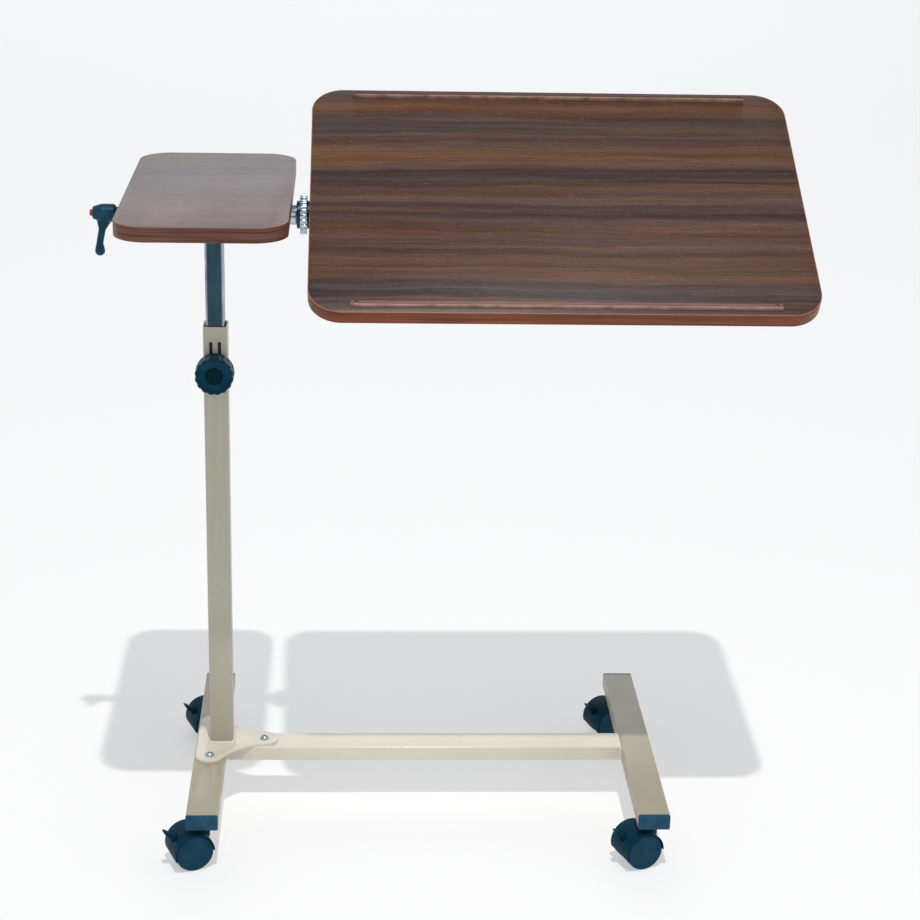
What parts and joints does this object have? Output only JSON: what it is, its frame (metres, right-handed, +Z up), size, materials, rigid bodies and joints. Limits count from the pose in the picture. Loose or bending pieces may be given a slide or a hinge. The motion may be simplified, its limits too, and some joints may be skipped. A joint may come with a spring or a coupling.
{
  "type": "overbed table",
  "caption": "Wheeled overbed table: H-shaped base on swivel casters, one telescopic mast, a fixed side top and a tilting main top with ledges and a clamp lever.",
  "frame": {"origin": "on the floor, under the centre of the whole table's box", "axes": "+Z up; +X along the spine tube and the tilt axis, from the mast to the far crossbar; +Y from the clamp-knob side to the rear, where the tilted main top is high"},
  "size_m": [0.867, 0.4092, 0.9188],
  "materials": {
    "base_paint": "satin beige powder coat",
    "zinc": "bright zinc plate",
    "mast_chrome": "bright chrome plate, lightly scratched",
    "hub_chrome": "bright chrome plate",
    "dark_steel": "blackened steel",
    "brass": "turned",
    "cap_plastic": "fine moulded grain",
    "knob_plastic": "moulded, slightly glossy on the grips",
    "lever_plastic": "fine orange-peel coat",
    "button_plastic": "glossy red",
    "hood_plastic": "moulded nylon",
    "wheel_plastic": "moulded nylon, tread lightly scuffed",
    "wood_laminate": "dark walnut laminate, satin",
    "wood_edging": "dark red-brown wood-grain edge band",
    "ledge_wood": "pinkish-brown wood-grain wrap"
  },
  "bodies": {
    "base": {"crossbar_left": "base_paint", "crossbar_right": "base_paint", "spine_tube": "base_paint", "end_caps": "cap_plastic", "mast_plate": "base_paint", "plate_bolts": "zinc", "plate_nuts": "zinc", "caster_nuts": "zinc", "caster_stems": "zinc", "mast_outer": "base_paint", "mast_liner": "cap_plastic", "clamp_boss": "base_paint"},
    "clamp_pad": {"clamp_pad": "brass"},
    "clamp_knob": {"clamp_stud": "zinc", "clamp_knob": "knob_plastic", "knob_cap": "knob_plastic"},
    "head": {"mast_inner": "mast_chrome", "mast_plug": "cap_plastic", "head_tube": "zinc", "head_bush": "zinc", "side_plates": "zinc", "side_screws": "zinc", "side_top": "wood_laminate", "side_edging": "wood_edging", "fixed_disc": "dark_steel"},
    "main_top": {"star_disc": "hub_chrome", "main_disc": "dark_steel", "tilt_tube": "zinc", "tilt_plug": "cap_plastic", "tilt_bolt": "dark_steel", "main_plates": "zinc", "main_screws": "zinc", "main_top": "wood_laminate", "main_edging": "wood_edging", "ledge_front": "ledge_wood", "ledge_rear": "ledge_wood", "ledge_screws": "zinc"},
    "lever": {"lever_insert": "dark_steel", "lever_handle": "lever_plastic"},
    "lever_button": {"lever_button": "button_plastic"},
    "caster_fl": {"hood_fl": "hood_plastic", "axle_fl": "zinc"},
    "front_wheel_fl": {"front_wheel_fl": "wheel_plastic"},
    "rear_wheel_fl": {"rear_wheel_fl": "wheel_plastic"},
    "brake_fl": {"brake_fl": "hood_plastic"},
    "caster_fr": {"hood_fr": "hood_plastic", "axle_fr": "zinc"},
    "front_wheel_fr": {"front_wheel_fr": "wheel_plastic"},
    "rear_wheel_fr": {"rear_wheel_fr": "wheel_plastic"},
    "brake_fr": {"brake_fr": "hood_plastic"},
    "caster_rl": {"hood_rl": "hood_plastic", "axle_rl": "zinc"},
    "front_wheel_rl": {"front_wheel_rl": "wheel_plastic"},
    "rear_wheel_rl": {"rear_wheel_rl": "wheel_plastic"},
    "brake_rl": {"brake_rl": "hood_plastic"},
    "caster_rr": {"hood_rr": "hood_plastic", "axle_rr": "zinc"},
    "front_wheel_rr": {"front_wheel_rr": "wheel_plastic"},
    "rear_wheel_rr": {"rear_wheel_rr": "wheel_plastic"},
    "brake_rr": {"brake_rr": "hood_plastic"}
  },
  "joints": [
    {"name": "mast_height", "type": "slide", "parent": "base", "child": "head", "axis": [0, 0, 1], "range_m": [-0.125, 0.24]},
    {"name": "clamp_feed", "type": "slide", "parent": "base", "child": "clamp_pad", "axis": [0, -1, 0], "range_m": [0, 0.0013]},
    {"name": "knob_turn", "type": "hinge", "parent": "clamp_pad", "child": "clamp_knob", "pos_m": [-0.2835, -0.03, 0.6], "axis": [0, -1, 0], "range_deg": [0, 360]},
    {"name": "main_tilt", "type": "hinge", "parent": "head", "child": "main_top", "pos_m": [-0.1783, 0, 0.7945], "axis": [1, 0, 0], "range_deg": [-28.6, 61.4]},
    {"name": "lever_turn", "type": "hinge", "parent": "head", "child": "lever", "pos_m": [-0.3975, 0, 0.7945], "axis": [-1, 0, 0], "range_deg": [0, 150]},
    {"name": "button_press", "type": "slide", "parent": "lever", "child": "lever_button", "axis": [1, 0, 0], "range_m": [0, 0.003], "stiffness_N_per_m": 600, "springref_m": -0.003},
    {"name": "swivel_fl", "type": "hinge", "parent": "base", "child": "caster_fl", "pos_m": [-0.2975, -0.172, 0.048], "axis": [0, 0, 1], "continuous": true},
    {"name": "front_roll_fl", "type": "hinge", "parent": "caster_fl", "child": "front_wheel_fl", "pos_m": [-0.31419, -0.17874, 0.024], "axis": [-0.3746, 0.9272, 0], "continuous": true},
    {"name": "rear_roll_fl", "type": "hinge", "parent": "caster_fl", "child": "rear_wheel_fl", "pos_m": [-0.31419, -0.17874, 0.024], "axis": [-0.3746, 0.9272, 0], "continuous": true},
    {"name": "brake_press_fl", "type": "hinge", "parent": "caster_fl", "child": "brake_fl", "pos_m": [-0.3281, -0.18436, 0.0365], "axis": [0.3746, -0.9272, 0], "range_deg": [0, 12]},
    {"name": "swivel_fr", "type": "hinge", "parent": "base", "child": "caster_fr", "pos_m": [0.2675, -0.172, 0.048], "axis": [0, 0, 1], "continuous": true},
    {"name": "front_roll_fr", "type": "hinge", "parent": "caster_fr", "child": "front_wheel_fr", "pos_m": [0.25081, -0.17874, 0.024], "axis": [-0.3746, 0.9272, 0], "continuous": true},
    {"name": "rear_roll_fr", "type": "hinge", "parent": "caster_fr", "child": "rear_wheel_fr", "pos_m": [0.25081, -0.17874, 0.024], "axis": [-0.3746, 0.9272, 0], "continuous": true},
    {"name": "brake_press_fr", "type": "hinge", "parent": "caster_fr", "child": "brake_fr", "pos_m": [0.2369, -0.18436, 0.0365], "axis": [0.3746, -0.9272, 0], "range_deg": [0, 12]},
    {"name": "swivel_rl", "type": "hinge", "parent": "base", "child": "caster_rl", "pos_m": [-0.2975, 0.172, 0.048], "axis": [0, 0, 1], "continuous": true},
    {"name": "front_roll_rl", "type": "hinge", "parent": "caster_rl", "child": "front_wheel_rl", "pos_m": [-0.31419, 0.16526, 0.024], "axis": [-0.3746, 0.9272, 0], "continuous": true},
    {"name": "rear_roll_rl", "type": "hinge", "parent": "caster_rl", "child": "rear_wheel_rl", "pos_m": [-0.31419, 0.16526, 0.024], "axis": [-0.3746, 0.9272, 0], "continuous": true},
    {"name": "brake_press_rl", "type": "hinge", "parent": "caster_rl", "child": "brake_rl", "pos_m": [-0.3281, 0.15964, 0.0365], "axis": [0.3746, -0.9272, 0], "range_deg": [0, 12]},
    {"name": "swivel_rr", "type": "hinge", "parent": "base", "child": "caster_rr", "pos_m": [0.2675, 0.172, 0.048], "axis": [0, 0, 1], "continuous": true},
    {"name": "front_roll_rr", "type": "hinge", "parent": "caster_rr", "child": "front_wheel_rr", "pos_m": [0.25081, 0.16526, 0.024], "axis": [-0.3746, 0.9272, 0], "continuous": true},
    {"name": "rear_roll_rr", "type": "hinge", "parent": "caster_rr", "child": "rear_wheel_rr", "pos_m": [0.25081, 0.16526, 0.024], "axis": [-0.3746, 0.9272, 0], "continuous": true},
    {"name": "brake_press_rr", "type": "hinge", "parent": "caster_rr", "child": "brake_rr", "pos_m": [0.2369, 0.15964, 0.0365], "axis": [0.3746, -0.9272, 0], "range_deg": [0, 12]}
  ],
  "couplings": [
    {"joint": "clamp_feed", "follows": "knob_turn", "m_per_rad": 0.00019894}
  ]
}
